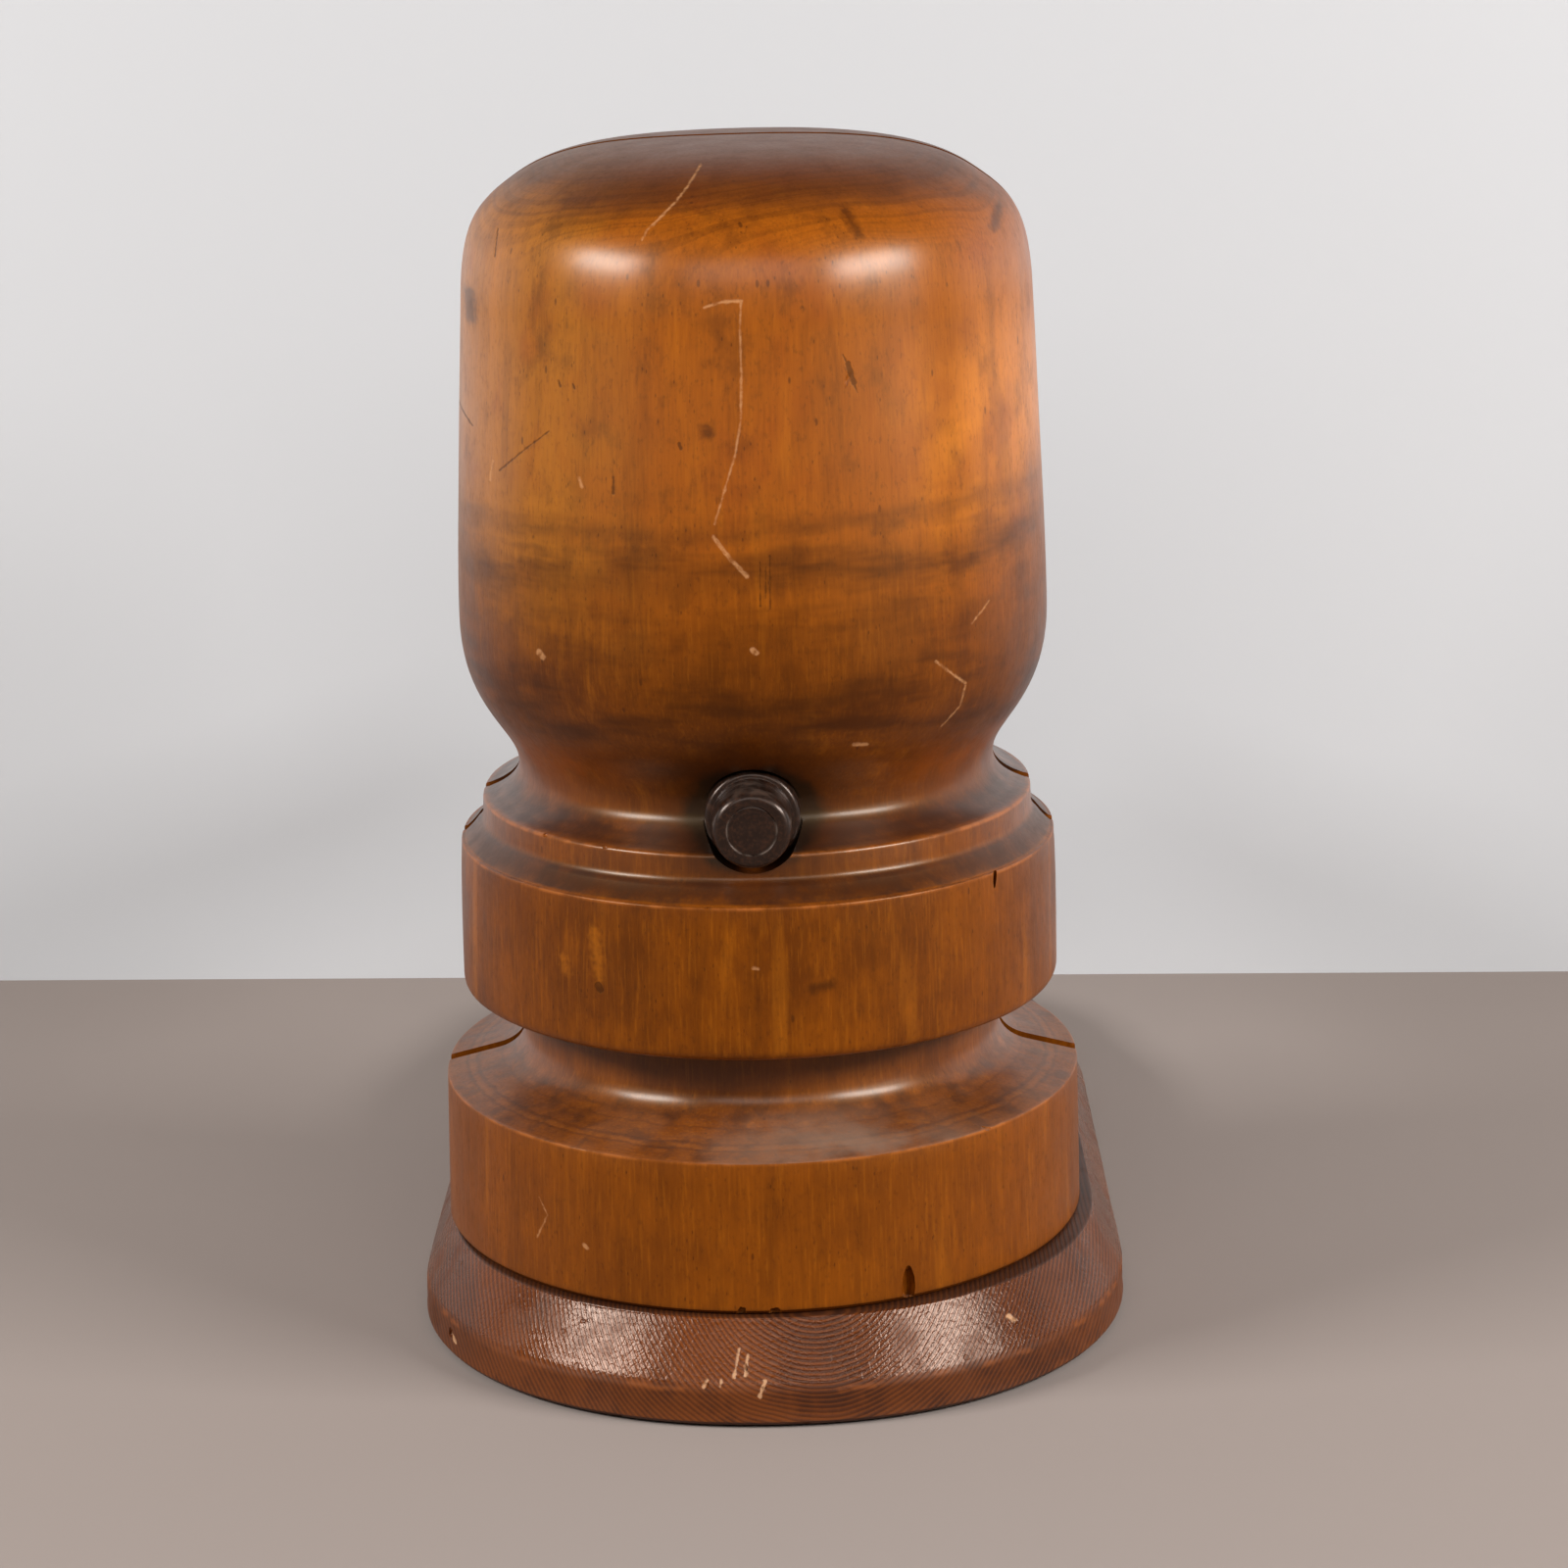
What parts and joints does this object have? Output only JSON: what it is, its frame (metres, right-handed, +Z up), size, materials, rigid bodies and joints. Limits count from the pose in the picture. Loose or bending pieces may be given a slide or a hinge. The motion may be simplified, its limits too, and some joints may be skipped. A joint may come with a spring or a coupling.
{
  "type": "hat block",
  "caption": "Turned wooden hat block, sawn across and opened by a wooden screw with a sliding handle bar, standing on a long bench board.",
  "frame": {"origin": "on the underside of the board, at the foot of the saw cut, under the axis of the body", "axes": "+X to the right as seen from the front, +Y back along the board and the screw, from the fixed half to the sliding half, +Z up"},
  "size_m": [0.2036, 0.4569, 0.336],
  "materials": {
    "body_wood": "amber to brown turned hardwood under worn, waxed varnish",
    "board_wood": "dark red-brown wood with fine straight grain and crackled glossy varnish",
    "runner_wood": "bare pale hardwood, waxed where it slides",
    "dark_wood": "nearly black, handled and polished turned hardwood",
    "screw_steel": "dull, slightly rusted steel"
  },
  "bodies": {
    "stand": {"base_board": "board_wood", "front_block": "body_wood", "slide_runner": "runner_wood", "block_screw_1": "screw_steel", "block_screw_2": "screw_steel", "block_screw_3": "screw_steel", "block_screw_4": "screw_steel", "runner_screw_1": "screw_steel", "runner_screw_2": "screw_steel", "runner_screw_3": "screw_steel", "guide_dowel_left": "runner_wood", "guide_dowel_right": "runner_wood"},
    "rear": {"rear_block": "body_wood"},
    "screw": {"screw_spindle": "dark_wood", "front_knob": "dark_wood", "screw_head": "dark_wood", "head_pin": "screw_steel"},
    "handle_bar": {"tommy_bar": "dark_wood", "bar_knob_left": "dark_wood", "bar_knob_right": "dark_wood"}
  },
  "joints": [
    {"name": "rear_slide", "type": "slide", "parent": "stand", "child": "rear", "axis": [0, 1, 0], "range_m": [-0.0055, 0.03]},
    {"name": "screw_turn", "type": "hinge", "parent": "stand", "child": "screw", "pos_m": [0, 0, 0.1597], "axis": [0, -1, 0], "range_deg": [-248, 1351]},
    {"name": "bar_slide", "type": "slide", "parent": "screw", "child": "handle_bar", "axis": [1, 0, 0], "range_m": [-0.038, 0.038]}
  ],
  "couplings": [
    {"joint": "screw_turn", "follows": "rear_slide", "rad_per_m": 785.4}
  ]
}
